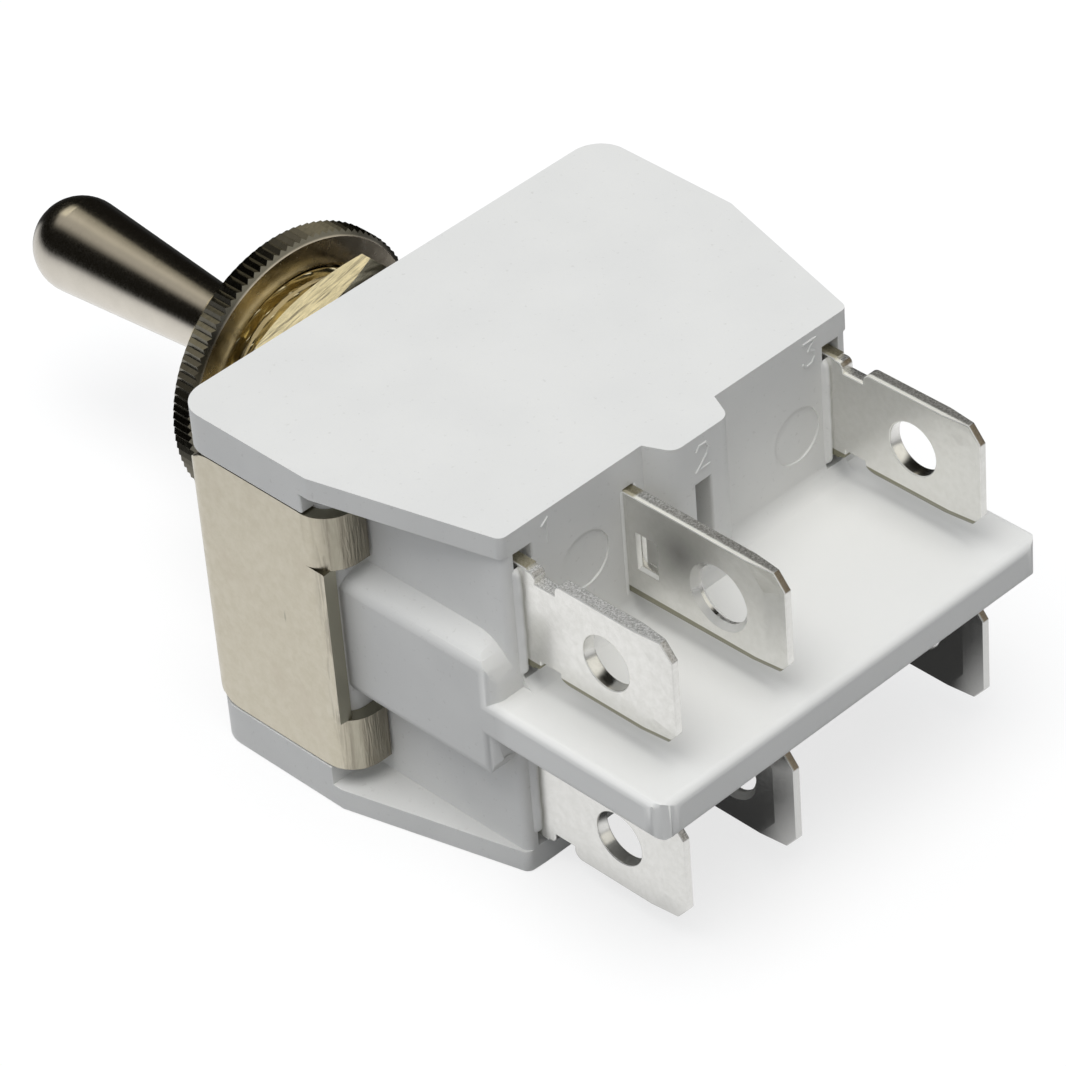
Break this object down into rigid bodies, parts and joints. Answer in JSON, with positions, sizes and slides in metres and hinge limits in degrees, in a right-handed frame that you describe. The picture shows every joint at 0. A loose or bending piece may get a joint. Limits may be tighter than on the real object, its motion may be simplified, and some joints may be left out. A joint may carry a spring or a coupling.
{
  "type": "panel toggle switch",
  "caption": "Panel toggle switch: round-tipped lever in a threaded bushing with hexagon and knurled nuts, folded steel bracket, moulded body with barrier shelf and push-on tabs.",
  "frame": {"origin": "on the bushing axis at the bracket's front face", "axes": "+Y out along the bushing to the lever's tip, +X along the row of terminals, the way the lever throws, +Z square to the broad face of the housing"},
  "size_m": [0.0304, 0.0609, 0.0216],
  "materials": {
    "housing": "light grey moulded plastic, faintly grained",
    "bracket": "satin nickel plated steel sheet",
    "bushing": "nickel plated brass",
    "nut": "bright nickel plated brass",
    "knurled_nut": "dark bright nickel plated brass",
    "lever": "polished nickel plated brass",
    "steel": "steel pin and wire",
    "carrier": "dark moulded plastic",
    "plunger": "plain brass",
    "rocker": "rolled copper alloy strip",
    "contact": "silver alloy rivet",
    "terminal": "tin plated brass"
  },
  "bodies": {
    "body": {"housing": "housing", "bracket": "bracket", "bushing": "bushing", "pivot_pin": "steel", "terminal_left_upper": "terminal", "terminal_middle_upper": "terminal", "terminal_right_upper": "terminal", "terminal_left_lower": "terminal", "terminal_middle_lower": "terminal", "terminal_right_lower": "terminal", "fixed_contact_left_upper": "contact", "fixed_contact_right_upper": "contact", "fixed_contact_left_lower": "contact", "fixed_contact_right_lower": "contact"},
    "back_nut": {"back_nut": "nut"},
    "front_nut": {"front_nut": "knurled_nut"},
    "lever": {"lever": "lever", "carrier": "carrier", "spring_upper": "steel", "spring_lower": "steel"},
    "plunger_upper": {"plunger_upper": "plunger"},
    "plunger_lower": {"plunger_lower": "plunger"},
    "rocker_upper": {"rocker_upper": "rocker", "moving_contact_left_upper": "contact", "moving_contact_right_upper": "contact"},
    "rocker_lower": {"rocker_lower": "rocker", "moving_contact_left_lower": "contact", "moving_contact_right_lower": "contact"}
  },
  "joints": [
    {"name": "lever_pivot", "type": "hinge", "parent": "body", "child": "lever", "pos_m": [0, 0.002, 0], "axis": [0, 0, 1], "range_deg": [-13, 13]},
    {"name": "plunger_upper_slide", "type": "slide", "parent": "lever", "child": "plunger_upper", "axis": [0, 1, 0], "range_m": [0, 0.0008], "stiffness_N_per_m": 300, "springref_m": -0.002, "deforming": ["spring_upper"]},
    {"name": "plunger_lower_slide", "type": "slide", "parent": "lever", "child": "plunger_lower", "axis": [0, 1, 0], "range_m": [0, 0.0008], "stiffness_N_per_m": 300, "springref_m": -0.002, "deforming": ["spring_lower"]},
    {"name": "rocker_upper_pivot", "type": "hinge", "parent": "body", "child": "rocker_upper", "pos_m": [0, -0.01583, 0.00528], "axis": [0, 0, 1], "range_deg": [-6.8, 6.8]},
    {"name": "rocker_lower_pivot", "type": "hinge", "parent": "body", "child": "rocker_lower", "pos_m": [0, -0.01583, -0.00528], "axis": [0, 0, 1], "range_deg": [-6.8, 6.8]},
    {"name": "back_nut_turn", "type": "hinge", "parent": "body", "child": "back_nut", "pos_m": [0, 0.0049, 0], "axis": [0, 1, 0], "continuous": true},
    {"name": "front_nut_turn", "type": "hinge", "parent": "body", "child": "front_nut", "pos_m": [0, 0.0088, 0], "axis": [0, 1, 0], "continuous": true}
  ],
  "couplings": [
    {"joint": "rocker_upper_pivot", "follows": "lever_pivot", "ratio": -0.52308},
    {"joint": "rocker_lower_pivot", "follows": "lever_pivot", "ratio": -0.52308}
  ]
}
